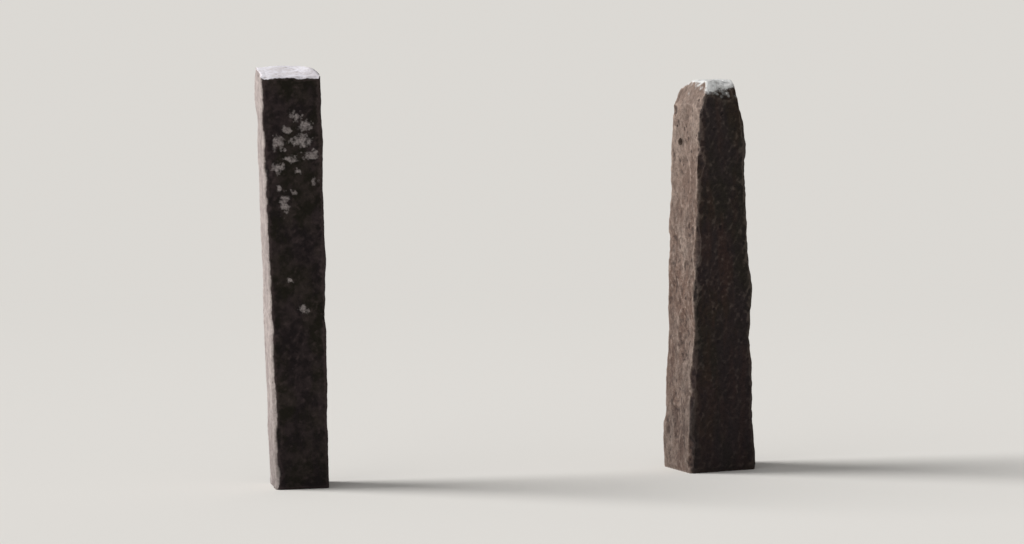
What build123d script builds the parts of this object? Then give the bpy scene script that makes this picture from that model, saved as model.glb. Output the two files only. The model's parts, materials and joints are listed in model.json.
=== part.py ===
from build123d import *
from dataclasses import dataclass
import os

# Stone gap stile: two upright stones, one each side of a footway through a wall.
#
# X runs along the line of the wall from the left stone to the right one, +Y goes
# through the gap and Z is up. The origin is on the ground, at the middle of the
# stile's whole length. Lengths are in millimetres and angles in degrees.

# Setting out on the ground
gap_width = 1090.0  # clear way between the nearest arrises of the two stones
left_turn = -1.5  # each stone's turn about its own upright axis, anticlockwise
right_turn = 10.0

# Left stone: a squared slab of dark flagstone, a little wider at its head
left_height = 1290.0
left_foot_width = 164.0
left_foot_depth = 160.0
left_head_width = 185.0
left_head_depth = 156.0
left_drift = -12.0  # how far along the wall its head stands from its foot
left_arris = 4.0  # corner taken off the upright arrises
left_foot_facet = 10.0  # the wider hewn corner at the front, away from the gap
left_head_facet = 4.0
left_weathering_drop = 32.0  # the top slopes down to the front
left_weathering_run = 140.0
left_top_bevel_drop = 28.0  # and its edge over the gap is knocked off
left_top_bevel_run = 42.0

# Right stone: a rough-hewn gritstone pillar that tapers to a rounded head
right_height = 1218.0
right_foot_width = 226.0
right_foot_depth = 208.0
right_head_width = 146.0
right_head_depth = 202.0
right_drift = 12.0
right_arris = 9.0
right_shoulder_drop = 140.0  # long bevel on the side away from the gap
right_shoulder_run = 18.0
right_top_bevel_drop = 80.0  # shorter one over the gap
right_top_bevel_run = 36.0
right_weathering_drop = 42.0  # rain-worn slope to the front
right_weathering_run = 38.0
right_back_slope_drop = 26.0
right_back_slope_run = 60.0

# Hole drilled for a gate hook, in the right stone's face on the gap
hook_hole_diameter = 24.0
hook_hole_depth = 70.0
hook_hole_height = 1028.0
hook_hole_setback = 33.0  # behind the middle of the face

# The way each side of a stone faces, in degrees from its own X
RIGHT, BACK, LEFT, FRONT = 0, 90, 180, 270


@dataclass
class Stone:
    """A stone as it is set out, before it is hewn: its place, sizes and lean."""

    turn: float
    height: float
    foot_width: float
    foot_depth: float
    head_width: float
    head_depth: float
    drift: float
    x: float = 0.0

    def bed(self, level):
        """Level plane across the stone, centred on the line from foot to head."""
        centre = Location((self.drift * level / self.height, 0, level))
        return Plane(Location((self.x, 0, 0), (0, 0, self.turn)) * centre)

    def block(self):
        """Width and depth of the block it is hewn from, with room to spare all round."""
        width = self.foot_width + self.head_width + abs(self.drift)
        return width, self.foot_depth + self.head_depth

    def outreach(self, side):
        """How far its corners come along the wall from the middle of its foot."""
        foot = Vector(self.foot_width / 2, self.foot_depth / 2)
        head = Vector(self.head_width / 2, self.head_depth / 2)
        lean = Vector(self.drift, 0).rotate(Axis.Z, self.turn).X
        if side == LEFT:
            lean = -lean
        turn = -abs(self.turn)
        return max(foot.rotate(Axis.Z, turn).X, head.rotate(Axis.Z, turn).X + lean)

    def length(self):
        """How much of the wall's length it takes up."""
        return self.outreach(LEFT) + self.outreach(RIGHT)

    def reach(self, side, level):
        """How far a side stands from the middle of the stone at a level."""
        along_wall = side in (LEFT, RIGHT)
        foot = self.foot_width if along_wall else self.foot_depth
        head = self.head_width if along_wall else self.head_depth
        return (foot + (head - foot) * level / self.height) / 2

    def mark(self, way, reach, level):
        """Upright plane facing one way, reach from the middle of the stone at a level."""
        outwards = Location((0, 0, 0), (0, 0, way)) * Location((reach, 0, 0), (0, 90, 0))
        return Plane(self.bed(level).location * outwards)

    def face(self, way, low, high):
        """Plane of a face from its reach and level low down to those higher up."""
        low_mark = self.mark(way, *low)
        high_mark = self.mark(way, *high)
        rise = high_mark.origin - low_mark.origin
        return Plane(
            origin=low_mark.origin, x_dir=low_mark.y_dir, z_dir=low_mark.y_dir.cross(rise)
        )

    def side(self, side):
        """Plane of one whole side, from foot to head."""
        foot = (self.reach(side, 0), 0)
        head = (self.reach(side, self.height), self.height)
        return self.face(side, foot, head)

    def arris(self, side, next_side, foot_cut, head_cut):
        """Plane that takes a corner off between two sides, by a cut along each."""
        both = [
            self.reach(side, level) + self.reach(next_side, level)
            for level in (0, self.height)
        ]
        foot = ((both[0] - foot_cut) / 2**0.5, 0)
        head = ((both[1] - head_cut) / 2**0.5, self.height)
        return self.face(side + 45, foot, head)

    def bevel(self, side, drop, run):
        """Plane that takes off a top edge, drop down its side and run across the top."""
        start = self.height - drop
        low = (self.reach(side, start), start)
        high = (self.reach(side, self.height) - run, self.height)
        return self.face(side, low, high)


def hew(*planes):
    """Cut away whatever lies outside each plane."""
    for plane in planes:
        split(bisect_by=plane, keep=Keep.BOTTOM)


left = Stone(
    turn=left_turn,
    height=left_height,
    foot_width=left_foot_width,
    foot_depth=left_foot_depth,
    head_width=left_head_width,
    head_depth=left_head_depth,
    drift=left_drift,
)
right = Stone(
    turn=right_turn,
    height=right_height,
    foot_width=right_foot_width,
    foot_depth=right_foot_depth,
    head_width=right_head_width,
    head_depth=right_head_depth,
    drift=right_drift,
)
overall_length = left.length() + gap_width + right.length()
left.x = left.outreach(LEFT) - overall_length / 2
right.x = overall_length / 2 - right.outreach(RIGHT)

# Left stone
with BuildPart() as left_post:
    with BuildSketch(left.bed(0)):
        Rectangle(*left.block())
    extrude(amount=left.height)
    hew(*[left.side(side) for side in (RIGHT, BACK, LEFT, FRONT)])
    hew(
        left.arris(RIGHT, BACK, left_arris, left_arris),
        left.arris(BACK, LEFT, left_arris, left_arris),
        left.arris(LEFT, FRONT, left_foot_facet, left_head_facet),
        left.arris(FRONT, RIGHT, left_arris, left_arris),
        left.bevel(FRONT, left_weathering_drop, left_weathering_run),
        left.bevel(RIGHT, left_top_bevel_drop, left_top_bevel_run),
    )

# Right stone
with BuildPart() as right_post:
    with BuildSketch(right.bed(0)):
        Rectangle(*right.block())
    extrude(amount=right.height)
    hew(*[right.side(side) for side in (RIGHT, BACK, LEFT, FRONT)])
    hew(
        right.arris(RIGHT, BACK, right_arris, right_arris),
        right.arris(BACK, LEFT, right_arris, right_arris),
        right.arris(LEFT, FRONT, right_arris, right_arris),
        right.arris(FRONT, RIGHT, right_arris, right_arris),
        right.bevel(RIGHT, right_shoulder_drop, right_shoulder_run),
        right.bevel(LEFT, right_top_bevel_drop, right_top_bevel_run),
        right.bevel(FRONT, right_weathering_drop, right_weathering_run),
        right.bevel(BACK, right_back_slope_drop, right_back_slope_run),
    )

    # The hole is drilled square to the face on the gap
    gap_side = right.side(LEFT)
    face_middle = right.mark(LEFT, right.reach(LEFT, hook_hole_height), hook_hole_height)
    hole_mouth = face_middle.origin + right.bed(0).y_dir * hook_hole_setback
    with Locations(Plane(origin=hole_mouth, z_dir=gap_side.z_dir)):
        Hole(radius=hook_hole_diameter / 2, depth=hook_hole_depth)

left_post.part.label = "left_post"
right_post.part.label = "right_post"

os.makedirs("parts", exist_ok=True)
export_step(left_post.part, "parts/left_post.step")
export_step(right_post.part, "parts/right_post.step")
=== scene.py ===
"""Dresses a packed stone gap stile: carves and weathers its two stones, on a pale floor.

Each stone of the frame is copied as an even mesh, carved as its mason and the weather
would, and given a procedural material. Lengths are in metres, in the frame of the CAD.
"""

import json
import math
from functools import partial
from typing import NamedTuple

import bmesh
import bpy
import numpy as np
from bpy.props import FloatProperty, FloatVectorProperty, IntProperty, PointerProperty
from mathutils import Matrix, Vector, noise


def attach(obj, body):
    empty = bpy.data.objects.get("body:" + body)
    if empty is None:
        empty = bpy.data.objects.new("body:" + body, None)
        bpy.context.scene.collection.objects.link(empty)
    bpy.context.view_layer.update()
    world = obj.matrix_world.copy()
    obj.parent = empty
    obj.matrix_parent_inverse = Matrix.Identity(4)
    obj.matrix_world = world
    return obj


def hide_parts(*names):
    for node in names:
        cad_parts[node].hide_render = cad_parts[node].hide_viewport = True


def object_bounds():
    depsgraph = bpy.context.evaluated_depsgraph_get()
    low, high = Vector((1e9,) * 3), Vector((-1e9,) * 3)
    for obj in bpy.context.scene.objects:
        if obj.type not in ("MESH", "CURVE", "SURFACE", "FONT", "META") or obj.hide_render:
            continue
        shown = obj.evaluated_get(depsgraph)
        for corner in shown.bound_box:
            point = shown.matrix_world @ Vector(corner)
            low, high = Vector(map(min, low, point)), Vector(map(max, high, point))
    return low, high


bl_info = {
    "name": "Stone Gap Stile",
    "version": (1, 0, 0),
    "blender": (4, 5, 0),
    "location": "3D View > Sidebar > Stile",
    "description": "Carves and weathers the stones of a gap stile, and lights them",
    "category": "Object",
}

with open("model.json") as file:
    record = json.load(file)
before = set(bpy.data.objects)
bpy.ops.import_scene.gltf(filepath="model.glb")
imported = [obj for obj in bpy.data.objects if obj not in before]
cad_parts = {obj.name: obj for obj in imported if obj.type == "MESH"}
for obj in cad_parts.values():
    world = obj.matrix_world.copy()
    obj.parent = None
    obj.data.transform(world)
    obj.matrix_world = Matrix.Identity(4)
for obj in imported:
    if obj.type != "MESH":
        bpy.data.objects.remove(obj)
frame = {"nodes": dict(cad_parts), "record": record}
cad_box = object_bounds()

MM = 0.001
UP = Vector((0, 0, 1))
WHITE = (1, 1, 1, 1)

# Forms that the plain solids don't have. Each has its place from the middle of the
# stone's foot, to the right, back and up, then how far it reaches and rises, all in mm.
PILLAR_SWELLINGS = (
    ((-80, 100, 770), 110, 5),
    ((-85, 100, 420), 110, -3),
    ((95, -100, 550), 150, 6),
    ((90, -100, 830), 90, -4),
    ((85, -100, 1010), 70, 5),
    ((100, -100, 120), 90, -3),
)
# Smaller ones. They give the arrises the outline that they have in the photograph, and
# the last two fill deep scars in the face on the gap.
PILLAR_BULGES = (
    ((-84, 100, 665), 75, 6),
    ((-78, 100, 980), 150, 4),
    ((-105, 104, 110), 110, 4),
    ((78, -100, 1130), 60, -7),
    ((60, -70, 1212), 45, 5),
    ((95, -100, 610), 130, 4),
    ((-62, 70, 1185), 60, -5),
    ((-90, -12, 480), 38, 4),
    ((-92, -8, 433), 34, 3),
)
# Breaks: the place of each, then the radius and depth of the ball that cuts it
PILLAR_BREAKS = (
    ((-75, 80, 1125), 34, 6),
    ((-82, -98, 1003), 40, 5),
    ((-70, -95, 1150), 120, 6),
    ((-88, -100, 560), 150, 3),
)
# The same for the slab
SLAB_SWELLINGS = (
    ((72, 10, 1278), 70, 9),
    ((-95, 80, 1290), 70, -7),
)
SLAB_BULGES = (
    ((84, -78, 530), 60, -6),
    ((86, -78, 700), 70, 4),
    ((87, -78, 1085), 70, 3),
    ((-98, 78, 1120), 60, -5),
)
SLAB_BREAKS = (((-92, -78, 1262), 60, 4),)
# Patches of lichen on the slab's front. Each has its place, to the right of the middle
# and up, then half its width and half its height, all in mm.
SLAB_LICHEN = (
    (0, 1144, 30, 22),
    (31, 1108, 34, 22),
    (14, 1064, 48, 28),
    (42, 1022, 40, 24),
    (-51, 1062, 24, 34),
    (-56, 985, 28, 24),
    (-16, 1008, 28, 20),
    (-42, 872, 18, 44),
    (-8, 905, 22, 14),
    (54, 940, 20, 17),
    (-26, 1096, 20, 14),
    (4, 968, 22, 12),
    (-62, 925, 12, 22),
    (15, 552, 18, 16),
    (-32, 640, 16, 14),
)


# Settings


def linear(hex_colour):
    """An sRGB hex colour as the linear numbers that Blender works in."""
    channels = [int(hex_colour[i : i + 2], 16) / 255 for i in (1, 3, 5)]
    return [c / 12.92 if c <= 0.04045 else ((c + 0.055) / 1.055) ** 2.4 for c in channels]


def length(name, description, default):
    """A length that a user may change."""
    return FloatProperty(
        name=name, description=description, default=default, min=0.0, unit="LENGTH", precision=4
    )


def colour(name, description, default):
    """A colour that a user may change."""
    return FloatVectorProperty(
        name=name,
        description=description,
        default=(*linear(default), 1.0),
        min=0.0,
        max=1.0,
        size=4,
        subtype="COLOR",
    )


class PillarSettings(bpy.types.PropertyGroup):
    """Sizes and colours of the rough gritstone pillar."""

    mesh_size: length("Mesh size", "Side of the small faces that it is carved from", 3.5 * MM)
    spare: length("Spare", "Stone left on for the cuts to take off", 2.5 * MM)
    swell: length("Swell", "Depth of the long waves in its faces", 2.5 * MM)
    scar_depth: length("Scar depth", "Deepest bite of the punch that dressed it", 3.5 * MM)
    stroke_depth: length("Stroke depth", "Depth of the pick's slanting strokes", 1.4 * MM)
    chip_depth: length("Chip depth", "Deepest chip in its arrises", 7 * MM)
    pit_depth: length("Pit depth", "Deepest pit that a pebble has left", 3 * MM)
    stone: colour("Stone", "Weathered brown gritstone", "#75645b")
    # Paler tan of worn stone; it is also the painted highlight on raised spots, and paints the top
    # paler
    worn_tan_and_highlight: colour("Fresh stone", "Tan of worn and rain-washed places", "#b09e92")
    stain: colour("Iron stain", "Rust-brown stain in the stone", "#664434")
    # Painted shade: the film colour is laid over the front faces as their shade, and also darkens
    # blotches, hollows and the foot
    film_and_painted_shade: colour("Film", "Dark film of soot on the shaded faces", "#272123")
    algae: colour("Algae", "Olive film of algae, in patches", "#2b2920")
    crust: colour("Crust", "Pale crust on the head", "#e6e7e6")
    seed: IntProperty(name="Seed", description="Another number carves another pillar", default=11)


class SlabSettings(bpy.types.PropertyGroup):
    """Sizes and colours of the squared flagstone."""

    mesh_size: length("Mesh size", "Side of the small faces that it is carved from", 3.5 * MM)
    spare: length("Spare", "Stone left on for the cuts to take off", 0.5 * MM)
    swell: length("Swell", "Depth of the long waves in its faces", 2 * MM)
    ledge: length("Ledge", "Step from one cleft layer to the next", 1.4 * MM)
    chip_depth: length("Chip depth", "Deepest chip in its arrises", 4.5 * MM)
    stone: colour("Stone", "Dark flagstone", "#43373a")
    layer: colour("Layer", "Paler layers of the flagstone", "#6a5a5a")
    # Painted light: the side away from the gap is painted this pale, as if lit; the colour also
    # tints the top crust
    side: colour("Side", "Bleached pinkish side away from the gap", "#c6bab5")
    # Painted shade: the film colour is laid over the front faces as their shade, and also darkens
    # hollows and the foot
    film_and_painted_shade: colour("Film", "Dark film of soot on the shaded faces", "#161112")
    algae: colour("Algae", "Olive film of algae, in patches", "#1c1a10")
    lichen: colour("Lichen", "Pale grey lichen", "#c4bab8")
    crust: colour("Crust", "White crust on the top", "#f7f4fb")
    seed: IntProperty(name="Seed", description="Another number carves another slab", default=5)


class StageSettings(bpy.types.PropertyGroup):
    """Floor, lamps and camera."""

    floor: colour("Floor", "Pale floor and background", "#e6e3de")
    key: FloatProperty(name="Key", description="Strength of the far lamp behind, left", default=3.0)
    fill: FloatProperty(name="Fill", description="Strength of the soft lamp, left", default=0.45)
    sky: FloatProperty(name="Sky", description="Strength of the even light all round", default=0.28)
    lens: FloatProperty(name="Lens", description="Focal length", default=130, unit="CAMERA")


# Holes, and the meshes that are carved

ROD_SIDES = 40
PLUG_SPARE = 1 * MM  # how much wider and deeper a hole's plug is than the hole
DRILL_START = 20 * MM  # how far out of the solid's face the drill starts
SHARP = math.radians(55)  # a drilled stone's edges look sharp from this angle on


class Hole(NamedTuple):
    """A drilled hole.

    Its axis is a frame at the hole's middle, whose Z runs along it and out of its mouth.
    """

    axis: Matrix
    radius: float
    depth: float


def mount(name):
    """A mount of the frame's record."""
    return next(entry for entry in frame["record"]["mounts"] if entry["name"] == name)


def drilled(name):
    """A drilled hole of the frame's record."""
    bore = mount(name)
    turn = Vector(bore["axis"]).to_track_quat("Z", "Y").to_matrix().to_4x4()
    axis = Matrix.Translation(bore["pos_m"]) @ turn
    return Hole(axis, bore["dims"]["r_mm"] * MM, bore["dims"]["length_mm"] * MM)


def add_rod(mesh, axis, radius, low, high):
    """Add a round rod to a mesh, from low to high on an axis."""
    rod = bmesh.new()
    rod.from_mesh(mesh)
    bmesh.ops.create_cone(
        rod,
        cap_ends=True,
        segments=ROD_SIDES,
        radius1=radius,
        radius2=radius,
        depth=high - low,
        matrix=axis @ Matrix.Translation((0, 0, (low + high) / 2)),
    )
    rod.to_mesh(mesh)
    rod.free()


def show(name, data):
    """A new object in the scene."""
    thing = bpy.data.objects.new(name, data)
    bpy.context.scene.collection.objects.link(thing)
    return thing


def evaluated(thing):
    """An object's mesh with its modifiers applied. The object itself is removed."""
    graph = bpy.context.evaluated_depsgraph_get()
    mesh = bpy.data.meshes.new_from_object(thing.evaluated_get(graph))
    bpy.data.objects.remove(thing)
    return mesh


def even_mesh(node, mesh_size, hole):
    """A node's solid, before any hole was drilled, as small even faces that can be carved."""
    blank = show("blank", frame["nodes"][node].data.copy())
    if hole:
        bottom = -hole.depth / 2 - PLUG_SPARE
        add_rod(blank.data, hole.axis, hole.radius + PLUG_SPARE, bottom, hole.depth / 2)
    weld = blank.modifiers.new("join_corners", "WELD")
    weld.merge_threshold = 0.01 * MM
    remesh = blank.modifiers.new("even_faces", "REMESH")
    remesh.mode = "VOXEL"
    remesh.voxel_size = mesh_size
    mesh = evaluated(blank)
    mesh.materials.clear()
    return mesh


def keep(mesh, name, values):
    """Store a value at each point of a mesh, for its material."""
    made = mesh.attributes.new(name, "FLOAT", "POINT")
    made.data.foreach_set("value", np.asarray(values, np.float32))


def drill(mesh, hole):
    """The carved stone with its hole drilled again."""
    bit = show("bit", bpy.data.meshes.new("bit"))
    add_rod(bit.data, hole.axis, hole.radius, -hole.depth / 2, hole.depth / 2 + DRILL_START)
    # Painted shade: the hole's wall is stored as a hollow on the front, so that its material paints
    # it as dark as the shade there
    everywhere = np.ones(len(bit.data.vertices))
    keep(bit.data, "rise", -everywhere)
    keep(bit.data, "front", everywhere)
    stone = show("undrilled", mesh)
    cut = stone.modifiers.new("drill", "BOOLEAN")
    cut.operation = "DIFFERENCE"
    cut.solver = "EXACT"
    cut.object = bit
    # The cut leaves slivers and many-sided faces along the hole's mouth
    weld = stone.modifiers.new("join_slivers", "WELD")
    weld.merge_threshold = 0.1 * MM
    triangles = stone.modifiers.new("split_many_sided", "TRIANGULATE")
    triangles.min_vertices = 5
    triangles.ngon_method = "BEAUTY"
    drilled_mesh = evaluated(stone)
    bpy.data.objects.remove(bit)
    drilled_mesh.set_sharp_from_angle(angle=SHARP)
    return drilled_mesh


# Carving

PLANTED = 20 * MM  # the foot is carved less and less below this height
FOOT_MARGIN = 30 * MM  # and no scar, chip or pit starts below this one
SMALL_FORMS = 12  # rounds of easing that leave out scars, strokes and pits
PITS = 6  # rounds that leave out pits and the finer strokes


def read(items, name, width, kind=np.float64):
    """One attribute of many vertices or edges as an array."""
    values = np.empty(len(items) * width, kind)
    items.foreach_get(name, values)
    return values.reshape(-1, width)


def ramp(values, low, high):
    """Smooth step from 0 at low to 1 at high."""
    share = np.clip((values - low) / (high - low), 0, 1)
    return share * share * (3 - 2 * share)


class Carving:
    """A stone's mesh while it is carved.

    Places on it are given in mm from the middle of its foot: to the right along the
    stile, back through the gap, and up.
    """

    def __init__(self, side, right_face, look, hole=None):
        """Start on the post of one side, whose right_face is the mount that faces right."""
        self.mesh = even_mesh(side + "_post", look.mesh_size, hole)
        self.points = read(self.mesh.vertices, "co", 3)
        self.edges = read(self.mesh.edges, "vertices", 2, np.int32)
        right = Vector((*mount(right_face)["axis"][:2], 0)).normalized()
        self.ways = np.array((right, UP.cross(right), UP))
        self.foot = np.array(mount(side + "_foot")["pos_m"])
        self.random = np.random.default_rng(look.seed)
        # Each seed takes its noise from somewhere else
        self.shift = self.random.uniform(-50, 50, 3)
        # The foot stays as it is, flat on the floor
        self.planted = ramp(self.points[:, 2], 0.0, PLANTED)

    def places(self):
        """Each point as a place on the stone, in mm."""
        return (self.points - self.foot) @ self.ways.T / MM

    def outwards(self):
        """Put the points into the mesh, and give the direction out of the stone at each."""
        self.mesh.vertices.foreach_set("co", self.points.ravel())
        self.mesh.update()
        return read(self.mesh.vertices, "normal", 3)

    def eased(self, values, rounds):
        """Values at the points, each made the mean of its neighbours', several times over."""
        ends = np.concatenate([self.edges, self.edges[:, ::-1]])
        total = len(self.points)
        neighbours = np.bincount(ends[:, 0], minlength=total)[:, None]
        for _ in range(rounds):
            sums = [np.bincount(ends[:, 0], column[ends[:, 1]], total) for column in values.T]
            values = np.column_stack(sums) / neighbours
        return values

    def wear(self, rounds):
        """Wear the arrises round."""
        worn = self.eased(self.points, rounds)
        self.points += (worn - self.points) * self.planted[:, None]

    def uneven(self, values, octaves):
        """Smooth noise from about -1 to 1, with one wave to a unit of the values."""
        fading, lacunarity = 1.0, 2.1
        return np.array(
            [noise.fractal(Vector(v), fading, lacunarity, octaves) for v in values + self.shift]
        )

    def waves(self, size, octaves=2):
        """Noise with waves of a size, at each point."""
        return self.uneven(self.points / size, octaves)

    def strokes(self, slope, long, wide, apart=100 * MM):
        """Noise drawn out into slanting strokes on the upright faces, at each point."""
        right, back, up = self.places().T * MM
        across = right + back
        along = (across * math.cos(slope) + up * math.sin(slope)) / long
        beside = (up * math.cos(slope) - across * math.sin(slope)) / wide
        return self.uneven(np.column_stack([along, beside, (right - back) / apart]), 2)

    def press(self, depth, rounds=0):
        """Push the surface in by a depth at each point, or out where it is below 0.

        With more rounds, all points near one another are pushed the same way.
        """
        inwards = -self.eased(self.outwards(), rounds)
        self.points += inwards * np.reshape(depth * self.planted, (-1, 1))

    def swell(self, place, reach, rise, rounds=0):
        """Raise the surface round a place, or sink it where the rise is below 0."""
        distance = np.linalg.norm(self.places() - place, axis=1)
        self.press(-rise * MM * (1 - ramp(distance, 0, reach)), rounds)

    def scoop(self, at, out, radius, depth, tall, ragged):
        """Cut a hollow at a point with a ball, drawn out upwards and made ragged."""
        shape = np.array((1, 1, tall))
        centre = self.points[at] + out * shape * (radius - depth)
        away = (self.points - centre) / shape
        distance = np.linalg.norm(away, axis=1)
        near = np.flatnonzero(distance < radius + ragged * depth)
        half_width = math.sqrt(2 * radius * depth)
        edge = self.uneven(self.points[near] / half_width, 3)
        push = np.clip((radius + ragged * depth * edge) / distance[near], 1, None)
        self.points[near] = centre + away[near] * shape * push[:, None]

    def scoops(self, choices, count, radii, depths, tall, ragged):
        """Hollows at random, each at one of the points to choose from.

        Their radii and depths, and how much taller than wide they are, lie anywhere
        between two values.
        """
        out = self.outwards()
        for _ in range(count):
            at = self.random.choice(choices)
            radius, depth, drawn = (self.random.uniform(*span) for span in (radii, depths, tall))
            self.scoop(at, out[at], radius, depth, drawn, ragged)

    def break_off(self, place, radius, depth):
        """One break at a place, all in mm."""
        at = np.linalg.norm(self.places() - place, axis=1).argmin()
        self.scoop(at, self.outwards()[at], radius * MM, depth * MM, tall=1.3, ragged=0.5)

    def rise(self, rounds):
        """How far each point stands out from those round it, in metres."""
        return ((self.points - self.eased(self.points, rounds)) * self.outwards()).sum(axis=1)

    def facing(self, direction):
        """How squarely the stone faces a direction at each point, its small forms left out."""
        return self.eased(self.outwards(), SMALL_FORMS) @ direction

    def upright(self):
        """The points above the foot."""
        return np.flatnonzero(self.points[:, 2] > FOOT_MARGIN)

    def arrises(self):
        """The points on an arris, which stand out more than most."""
        rise = self.rise(SMALL_FORMS)
        return np.flatnonzero((rise > 2 * rise.std()) & (self.points[:, 2] > FOOT_MARGIN))

    def finish(self):
        """Put the carved points into the mesh, inside the room that the frame takes."""
        self.points = np.clip(self.points, *cad_box)
        self.mesh.shade_smooth()
        right, back, up = self.ways
        keep(self.mesh, "front", self.facing(-back))
        keep(self.mesh, "right", self.facing(right))
        # The tops slope a little to the front
        keep(self.mesh, "top", self.facing(0.98 * up - 0.2 * back))
        keep(self.mesh, "rise", self.rise(PITS) / MM)


def lichen_growth(slab):
    """How thickly lichen grows at each point of the slab, from 0 to 1."""
    right, back, up = slab.places().T
    # The front is more than this far before the middle of the foot, in mm
    front = -60
    # There it lies in patches, whose outlines stray by up to this much
    stray = 12
    right = right + stray * slab.waves(40 * MM, octaves=3)
    up = up + stray * slab.waves(30 * MM, octaves=3)
    # They thin out from their middle to a little beyond their size
    border = 1.4
    on_front = np.zeros(len(up))
    for x, z, half_width, half_height in SLAB_LICHEN:
        distance = np.hypot((right - x) / half_width, (up - z) / half_height)
        on_front = np.maximum(on_front, 1 - ramp(distance, 0, border))
    elsewhere = ramp(slab.waves(90 * MM, octaves=3), 0.3, 0.75)
    return np.where(back < front, on_front, elsewhere)


def stand_in(name, mesh, material, node):
    """Show a carved stone in place of its plain solid."""
    stone = show(name, mesh)
    mesh.materials.append(material)
    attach(stone, "root")
    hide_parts(node)


# Materials

# How dark the gaps between grains are
GAP_SHADE = (0.35, 0.35, 0.35, 1)
# Sockets of a Mix node that mixes two colours
SHARE, UNDER, OVER, MIXED = 0, 6, 7, 2


def put(tree, kind, inputs, **settings):
    """Add a node with its settings, and with values or links for its inputs."""
    node = tree.nodes.new(kind)
    for name, value in settings.items():
        setattr(node, name, value)
    for name, value in inputs.items():
        if isinstance(value, bpy.types.NodeSocket):
            tree.links.new(value, node.inputs[name])
        else:
            node.inputs[name].default_value = value
    return node


def new_material(name):
    """An empty material and its node tree."""
    material = bpy.data.materials.new(name)
    material.use_nodes = True
    material.node_tree.nodes.clear()
    return material, material.node_tree


def mask(tree, value, low, high):
    """A value as a mask: 0 at low, 1 at high and smooth between them."""
    inputs = {"Value": value, "From Min": low, "From Max": high}
    return put(tree, "ShaderNodeMapRange", inputs, interpolation_type="SMOOTHSTEP").outputs[0]


def overlap(tree, *masks):
    """Where all of these masks are. Each is a mask, or a share that holds everywhere."""
    both = masks[0]
    for other in masks[1:]:
        both = put(tree, "ShaderNodeMath", {0: both, 1: other}, operation="MULTIPLY").outputs[0]
    return both


def raised(tree, value, by, amount):
    """A value made higher by a mask, at most by an amount."""
    inputs = {0: by, 1: amount, 2: value}
    return put(tree, "ShaderNodeMath", inputs, operation="MULTIPLY_ADD").outputs[0]


def mottling(tree, where, size, detail=4.0):
    """Noise from 0 to 1 with spots of a size, or of three sizes along X, Y and Z."""
    sizes = size if isinstance(size, tuple) else (size,) * 3
    scaled = put(
        tree, "ShaderNodeVectorMath", {0: where, 1: [1 / s for s in sizes]}, operation="MULTIPLY"
    )
    inputs = {"Vector": scaled.outputs[0], "Scale": 1.0, "Detail": detail, "Roughness": 0.6}
    return put(tree, "ShaderNodeTexNoise", inputs).outputs[0]


def patches(tree, where, size, border=(0.42, 0.62), detail=4.0):
    """Patches of about a size: 0 outside them, 1 inside, soft between two levels of noise."""
    return mask(tree, mottling(tree, where, size, detail), *border)


def grains(tree, where, size):
    """Rounded grains of about a size: 1 at each grain's middle, 0 between them."""
    inputs = {"Vector": where, "Scale": 1 / size, "Smoothness": 0.4}
    cells = put(tree, "ShaderNodeTexVoronoi", inputs, feature="SMOOTH_F1")
    return mask(tree, cells.outputs["Distance"], 0.75, 0.15)


def stored(tree, name, low, high, noise_mask=None, amount=0.0):
    """A value that the carving stored, as a mask from 0 at low to 1 at high.

    A noise may shift its border to and fro, by half an amount each way.
    """
    value = put(tree, "ShaderNodeAttribute", {}, attribute_name=name).outputs["Fac"]
    if noise_mask is not None:
        value = raised(tree, value, noise_mask, amount)
        low, high = low + amount / 2, high + amount / 2
    return mask(tree, value, low, high)


def layered(tree, base, layers, blend="MIX"):
    """Lay colours over one another.

    Each layer is a colour, its share where it lies, and the masks for where that is.
    """
    for over, share, *masks in layers:
        inputs = {SHARE: overlap(tree, *masks, share), UNDER: base, OVER: over}
        mix = put(tree, "ShaderNodeMix", inputs, data_type="RGBA", blend_type=blend)
        base = mix.outputs[MIXED]
    return base


def rough_stone(tree, tint, roughness, reliefs):
    """The shader of both stones: rough, hardly shiny, with relief at several sizes.

    Each relief is a height from 0 to 1, how deep it is, and how much of that shows.
    """
    inputs = {
        "Base Color": tint,
        "Roughness": roughness,
        "IOR": 1.5,
        # About a third as shiny as its IOR alone makes it, because its pores trap light
        "Specular IOR Level": 0.15,
    }
    for height, distance, strength in reliefs:
        relief = {"Height": height, "Distance": distance, "Strength": strength}
        if "Normal" in inputs:
            relief["Normal"] = inputs["Normal"]
        inputs["Normal"] = put(tree, "ShaderNodeBump", relief).outputs[0]
    shader = put(tree, "ShaderNodeBsdfPrincipled", inputs)
    put(tree, "ShaderNodeOutputMaterial", {"Surface": shader.outputs[0]})


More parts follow.
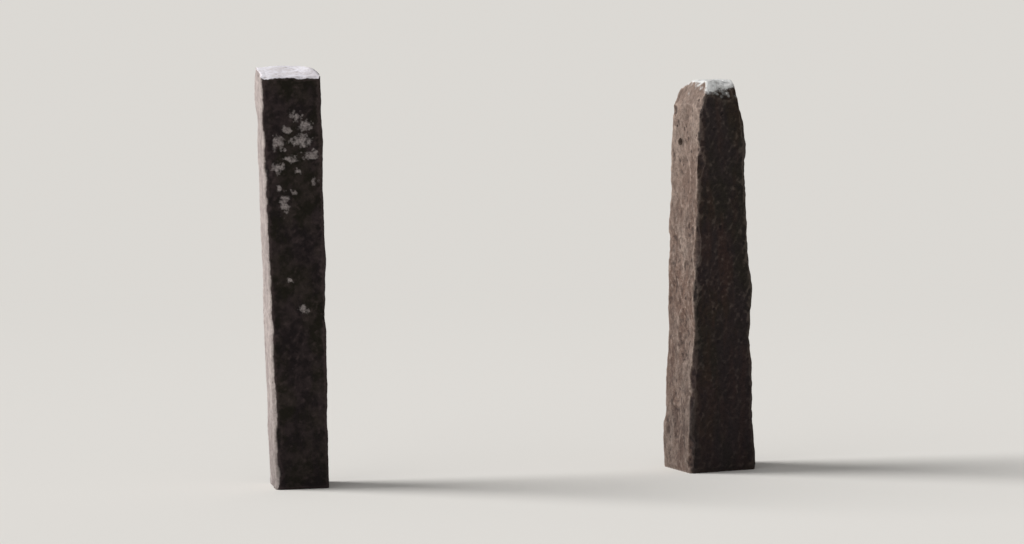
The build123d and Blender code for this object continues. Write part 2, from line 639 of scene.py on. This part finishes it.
def dressed_gritstone(look):
    """Gritstone, a coarse sandstone, dressed with punch and pick and weathered since.

    To the eye it is brown and grainy, tan where it is worn, almost black on the front
    face, where a dark film stands for its painted shade, with patches of algae, and pale on
    the head. Its raised spots carry painted highlights and its hollows painted shade.
    """
    material, tree = new_material("dressed_gritstone")
    where = put(tree, "ShaderNodeTexCoord", {}).outputs["Object"]
    up = put(tree, "ShaderNodeSeparateXYZ", {0: where}).outputs["Z"]
    spots = partial(patches, tree, where)
    # Its grains are 1 to 2 mm: drawn at 4 mm, or they wouldn't show
    grain = grains(tree, where, 4 * MM)
    between = mask(tree, grain, 0.5, 0.0)
    speckle = spots(11 * MM)
    blotch = spots(30 * MM, border=(0.46, 0.62), detail=6.0)
    mottle = spots((46 * MM, 46 * MM, 70 * MM), border=(0.42, 0.6), detail=6.0)
    cloud = spots((130 * MM, 130 * MM, 240 * MM), border=(0.42, 0.6))
    streak = spots((60 * MM, 60 * MM, 320 * MM), detail=6.0)
    # Painted shade: the faces to the front, which are painted dark as if in shade
    shaded = stored(tree, "front", 0.25, 0.6, mottle, 0.3)
    hollow = stored(tree, "rise", -0.05, -0.9)
    ridge = stored(tree, "rise", 0.05, 0.9)
    # Paler towards the top, and darker towards the foot
    upper_part = mask(tree, up, 0.7, 1.1)
    foot = mask(tree, raised(tree, up, cloud, 0.1), 0.7, 0.0)
    # The crust is whole on the top and breaks up down the slopes round it
    head = overlap(tree, stored(tree, "top", 0.2, 0.9), mask(tree, up, 1.14, 1.2))
    growth = raised(tree, mottling(tree, where, 18 * MM, detail=10.0), head, 0.6)
    thin_crust = mask(tree, growth, 0.7, 0.82)
    thick_crust = mask(tree, growth, 0.82, 0.94)
    tint = layered(
        tree,
        look.stone,
        [
            (look.worn_tan_and_highlight, 0.45, mottle),
            (look.stain, 0.3, cloud),
            (look.film_and_painted_shade, 0.25, blotch),
            (look.worn_tan_and_highlight, 0.23, upper_part),
            # Paler raised spots: partly wear, partly a painted highlight
            (look.worn_tan_and_highlight, 0.55, ridge),
            (look.film_and_painted_shade, 0.3, foot),
            # Painted shade: the front faces under the dark film
            (look.film_and_painted_shade, 0.95, shaded),
            (look.algae, 0.6, shaded, cloud),
            (look.stain, 0.16, shaded, streak),
            # Painted highlight on the raised spots of the shaded front
            (look.worn_tan_and_highlight, 0.12, shaded, ridge),
            (look.film_and_painted_shade, 0.5, shaded, foot),
            # Darker hollows: painted shade, partly dirt
            (look.film_and_painted_shade, 0.6, hollow),
        ],
    )
    gaps = [(GAP_SHADE, 0.35, speckle), (GAP_SHADE, 0.12, between)]
    tint = layered(tree, tint, gaps, blend="MULTIPLY")
    tint = layered(
        tree,
        tint,
        [
            (look.crust, 0.25, thin_crust),
            (look.crust, 0.9, thick_crust),
            (look.stone, 0.2, thick_crust, blotch),
            # Painted shade, partly dirt, in the crust's hollows
            (look.film_and_painted_shade, 0.35, thick_crust, hollow),
        ],
    )
    reliefs = [(mottle, 2 * MM, 0.4), (speckle, 1.6 * MM, 0.7), (grain, 0.9 * MM, 0.9)]
    rough_stone(tree, tint, 0.9, reliefs)
    return material


def cleft_flagstone(look):
    """Flagstone, a fine sandstone cleft along its layers and squared by hand.

    To the eye it is dark, flat and close-grained, with patches of crusty lichen, a pale
    side away from the gap that is painted as lit, painted shade on its front, and a white
    crust on its top.
    """
    material, tree = new_material("cleft_flagstone")
    where = put(tree, "ShaderNodeTexCoord", {}).outputs["Object"]
    up = put(tree, "ShaderNodeSeparateXYZ", {0: where}).outputs["Z"]
    spots = partial(patches, tree, where)
    # Its grains are under 0.5 mm: drawn at 4 mm, or they wouldn't show
    grain = grains(tree, where, 4 * MM)
    speckle = spots(9 * MM)
    mottle = spots(42 * MM, detail=6.0)
    cloud = spots((100 * MM, 100 * MM, 180 * MM), border=(0.42, 0.6))
    # Its layers are 5 to 10 mm thick and lie parallel to the front
    bedding = spots((200 * MM, 8 * MM, 200 * MM), border=(0.4, 0.6))
    # Painted shade: the faces to the front, which are painted dark as if in shade
    shaded = stored(tree, "front", 0.2, 0.55, mottle, 0.25)
    # Painted light: the side away from the gap, painted pale as if lit
    painted_lit_side = stored(tree, "right", -0.35, -0.6, mottle, 0.15)
    hollow = stored(tree, "rise", -0.05, -0.6)
    ridge = stored(tree, "rise", 0.05, 0.6)
    # Darker towards the foot
    foot = mask(tree, raised(tree, up, cloud, 0.1), 0.4, 0.0)
    # Lichen breaks up into crusts of a few millimetres, fewer towards a patch's border
    crusts = mottling(tree, where, 13 * MM, detail=10.0)
    grown = put(tree, "ShaderNodeAttribute", {}, attribute_name="lichen").outputs["Fac"]
    growth = raised(tree, crusts, grown, 0.4)
    lichen = mask(tree, growth, 0.68, 0.8)
    thick_lichen = mask(tree, growth, 0.78, 0.9)
    lace = raised(tree, 0.3, spots(6 * MM, border=(0.4, 0.6)), 0.7)
    # So does the white crust, where the top turns over into the sides
    cover = raised(tree, crusts, stored(tree, "top", 0.35, 0.75), 0.6)
    top = mask(tree, cover, 0.84, 0.94)
    tint = layered(
        tree,
        look.stone,
        [
            (look.layer, 0.45, mottle),
            (look.layer, 0.4, bedding),
            # Paler raised spots: partly worn paler layers, partly a painted highlight
            (look.layer, 0.5, ridge),
            # Painted shade: the front faces under the dark film
            (look.film_and_painted_shade, 0.92, shaded),
            (look.algae, 0.8, shaded, cloud),
            (look.layer, 0.15, shaded, mottle),
            # Painted highlight on the raised spots of the shaded front
            (look.layer, 0.2, shaded, ridge),
            # Painted light on the side away from the gap
            (look.side, 0.85, painted_lit_side),
            (look.layer, 0.3, painted_lit_side, mottle),
            (look.stone, 0.15, painted_lit_side, cloud),
            (look.film_and_painted_shade, 0.4, foot),
            # Darker hollows: painted shade, partly dirt
            (look.film_and_painted_shade, 0.5, hollow),
        ],
    )
    tint = layered(tree, tint, [(GAP_SHADE, 0.3, speckle)], blend="MULTIPLY")
    tint = layered(
        tree,
        tint,
        [
            (look.lichen, 0.22, lichen),
            (look.lichen, 0.45, thick_lichen, lace),
            (look.crust, 0.95, top),
            (look.side, 0.3, top, speckle),
            (look.side, 0.35, top, mottle),
            # Painted shade, partly bare stone, in the crust's hollows
            (look.layer, 0.5, top, hollow),
        ],
    )
    reliefs = [
        (mottle, 1.2 * MM, 0.5),
        (bedding, 0.6 * MM, 0.4),
        (speckle, 1.0 * MM, 0.5),
        (lichen, 1.0 * MM, 0.6),
        (grain, 0.4 * MM, 0.7),
    ]
    rough_stone(tree, tint, 0.85, reliefs)
    return material


# Stage

FLOOR_RADIUS = 60
# The lit floor runs into the plain background between these distances
LIT_UP_TO, PLAIN_FROM = 1.8, 7.0
BACKGROUND = 0.9  # its strength, at which it is as pale as the lit floor
# Each lamp: where its light comes from, seen from the stile, and its spread in degrees
KEY_FROM, KEY_SPREAD = (-6.0, 2.2, 5.0), 30
FILL_FROM, FILL_SPREAD = (-5.5, -3.5, 2.6), 60
# The photograph's eye, 1.55 m above the floor, and a point between the two stones
EYE = Vector((-2.35, -11.18, 1.55))
AIM = Vector((0.015, 0, 0.638))
# It looked up a little, so uprights on the right of its view lean to the left
LEAN = math.radians(-0.9)


def seen(tree):
    """1 for what the camera sees, also in a reflection or through glass."""
    rays = put(tree, "ShaderNodeLightPath", {}).outputs
    total = rays["Is Camera Ray"]
    for kind in ("Is Glossy Ray", "Is Transmission Ray"):
        inputs = {0: total, 1: rays[kind]}
        total = put(tree, "ShaderNodeMath", inputs, operation="MAXIMUM").outputs[0]
    return total


def painted_floor(look):
    """Matt studio floor, painted: pale, plain and without shine.

    Far from the stile it runs into the background, as a studio's sweep does.
    """
    material, tree = new_material("painted_floor")
    where = put(tree, "ShaderNodeTexCoord", {}).outputs["Object"]
    distance = put(tree, "ShaderNodeVectorMath", {0: where}, operation="LENGTH").outputs["Value"]
    far = overlap(tree, seen(tree), mask(tree, distance, LIT_UP_TO, PLAIN_FROM))
    lit = put(tree, "ShaderNodeBsdfDiffuse", {"Color": look.floor}).outputs[0]
    colour_and_strength = {"Color": look.floor, "Strength": BACKGROUND}
    plain = put(tree, "ShaderNodeEmission", colour_and_strength).outputs[0]
    mix = put(tree, "ShaderNodeMixShader", {0: far, 1: lit, 2: plain}).outputs[0]
    put(tree, "ShaderNodeOutputMaterial", {"Surface": mix})
    return material


def studio(look):
    """Even light all round, and behind everything the floor's colour."""
    world = bpy.data.worlds.new("studio")
    world.use_nodes = True
    tree = world.node_tree
    tree.nodes.clear()
    even_light = {"Color": WHITE, "Strength": look.sky}
    light = put(tree, "ShaderNodeBackground", even_light).outputs[0]
    colour_and_strength = {"Color": look.floor, "Strength": BACKGROUND}
    back = put(tree, "ShaderNodeBackground", colour_and_strength).outputs[0]
    both = put(tree, "ShaderNodeMixShader", {0: seen(tree), 1: light, 2: back}).outputs[0]
    put(tree, "ShaderNodeOutputWorld", {"Surface": both})
    return world


def lay_floor(look):
    """A wide round floor, which isn't part of the stile."""
    disc = bmesh.new()
    bmesh.ops.create_circle(disc, cap_ends=True, segments=96, radius=FLOOR_RADIUS)
    floor = show("floor", bpy.data.meshes.new("floor"))
    disc.to_mesh(floor.data)
    disc.free()
    floor.data.materials.append(painted_floor(look))


def hang_lamp(name, strength, light_from, spread):
    """A far lamp whose light comes from one side, softer the wider it spreads."""
    lamp = bpy.data.lights.new(name, "SUN")
    lamp.energy = strength
    lamp.angle = math.radians(spread)
    hung = show(name, lamp)
    hung.rotation_euler = Vector(light_from).to_track_quat("Z", "Y").to_euler()


def set_up_camera(lens):
    """The scene's camera, where the photograph was taken from."""
    camera = show("camera", bpy.data.cameras.new("camera"))
    camera.data.lens = lens
    turn = (AIM - EYE).to_track_quat("-Z", "Y").to_matrix().to_4x4()
    camera.matrix_world = Matrix.Translation(EYE) @ turn @ Matrix.Rotation(LEAN, 4, "Z")
    bpy.context.scene.camera = camera


# Operators


class STILE_OT_pillar(bpy.types.Operator):
    """Carve and weather the rough gritstone pillar, right of the gap"""

    bl_idname = "stile.pillar"
    bl_label = "Gritstone Pillar"

    def execute(self, context):
        look = context.scene.stile_pillar
        hole = drilled("hook_hole")
        pillar = Carving("right", "right_wall_face", look, hole)
        pillar.wear(rounds=4)
        # It stands a little proud of its solid at first, by what the cuts take off
        pillar.press(-look.spare)
        pillar.press(look.swell * pillar.waves(280 * MM))
        for form in PILLAR_SWELLINGS:
            pillar.swell(*form)
        pillar.scoops(
            pillar.upright(),
            count=240,
            radii=(80 * MM, 250 * MM),
            depths=(0.3 * look.scar_depth, look.scar_depth),
            tall=(1, 1.8),
            ragged=0.6,
        )
        pillar.scoops(
            pillar.arrises(),
            count=50,
            radii=(60 * MM, 250 * MM),
            depths=(0.15 * look.chip_depth, look.chip_depth),
            tall=(1, 1.6),
            ragged=0.6,
        )
        for form in PILLAR_BREAKS:
            pillar.break_off(*form)
        for form in PILLAR_BULGES:
            pillar.swell(*form, rounds=10)
        strokes = pillar.strokes(math.radians(60), long=70 * MM, wide=20 * MM)
        pillar.press(look.stroke_depth * strokes)
        pillar.press(1.5 * MM * pillar.waves(30 * MM, octaves=4))
        pillar.scoops(
            pillar.upright(),
            count=120,
            radii=(6 * MM, 14 * MM),
            depths=(0.3 * look.pit_depth, look.pit_depth),
            tall=(0.8, 1.4),
            ragged=0.8,
        )
        pillar.finish()
        stand_in(
            "gritstone_pillar",
            drill(pillar.mesh, hole),
            dressed_gritstone(look),
            "right_post",
        )
        return {"FINISHED"}


class STILE_OT_slab(bpy.types.Operator):
    """Carve and weather the squared flagstone, left of the gap"""

    bl_idname = "stile.slab"
    bl_label = "Flagstone Slab"

    def execute(self, context):
        look = context.scene.stile_slab
        slab = Carving("left", "left_gap_face", look)
        slab.wear(rounds=1)
        slab.press(-look.spare)
        slab.press(look.swell * slab.waves(300 * MM))
        # Its faces step from one cleft layer to another
        layers = np.floor(3 * slab.waves(120 * MM, octaves=4))
        slab.press(look.ledge * (layers - layers.mean()) / 2)
        for form in SLAB_SWELLINGS:
            slab.swell(*form)
        slab.scoops(
            slab.arrises(),
            count=60,
            radii=(40 * MM, 200 * MM),
            depths=(0.15 * look.chip_depth, look.chip_depth),
            tall=(1, 2),
            ragged=0.6,
        )
        for form in SLAB_BREAKS:
            slab.break_off(*form)
        for form in SLAB_BULGES:
            slab.swell(*form, rounds=10)
        slab.wear(rounds=1)
        slab.press(0.8 * MM * slab.waves(18 * MM, octaves=4))
        slab.finish()
        keep(slab.mesh, "lichen", lichen_growth(slab))
        stand_in(
            "flagstone_slab",
            slab.mesh,
            cleft_flagstone(look),
            "left_post",
        )
        return {"FINISHED"}


class STILE_OT_stage(bpy.types.Operator):
    """Lay the floor, hang the lamps and set up the camera"""

    bl_idname = "stile.stage"
    bl_label = "Floor, Lamps and Camera"

    def execute(self, context):
        look = context.scene.stile_stage
        context.scene.view_settings.view_transform = "Standard"
        context.scene.world = studio(look)
        lay_floor(look)
        hang_lamp("key_lamp", look.key, KEY_FROM, KEY_SPREAD)
        hang_lamp("fill_lamp", look.fill, FILL_FROM, FILL_SPREAD)
        set_up_camera(look.lens)
        return {"FINISHED"}


# Panel

# Each operator, with the name and the kind of its settings in the scene
SECTIONS = (
    (STILE_OT_pillar, "stile_pillar", PillarSettings),
    (STILE_OT_slab, "stile_slab", SlabSettings),
    (STILE_OT_stage, "stile_stage", StageSettings),
)


class STILE_PT_panel(bpy.types.Panel):
    """The stile's pieces and their settings"""

    bl_label = "Stone Gap Stile"
    bl_idname = "STILE_PT_panel"
    bl_space_type = "VIEW_3D"
    bl_region_type = "UI"
    bl_category = "Stile"

    def draw(self, context):
        for operator, name, settings in SECTIONS:
            box = self.layout.box()
            box.operator(operator.bl_idname)
            for setting in settings.__annotations__:
                box.prop(getattr(context.scene, name), setting)


def register():
    for operator, name, settings in SECTIONS:
        bpy.utils.register_class(settings)
        setattr(bpy.types.Scene, name, PointerProperty(type=settings))
        bpy.utils.register_class(operator)
    bpy.utils.register_class(STILE_PT_panel)


def unregister():
    bpy.utils.unregister_class(STILE_PT_panel)
    for operator, name, settings in reversed(SECTIONS):
        bpy.utils.unregister_class(operator)
        delattr(bpy.types.Scene, name)
        bpy.utils.unregister_class(settings)


def main():
    register()
    bpy.ops.stile.pillar()
    bpy.ops.stile.slab()
    bpy.ops.stile.stage()


if __name__ == "__main__":
    main()
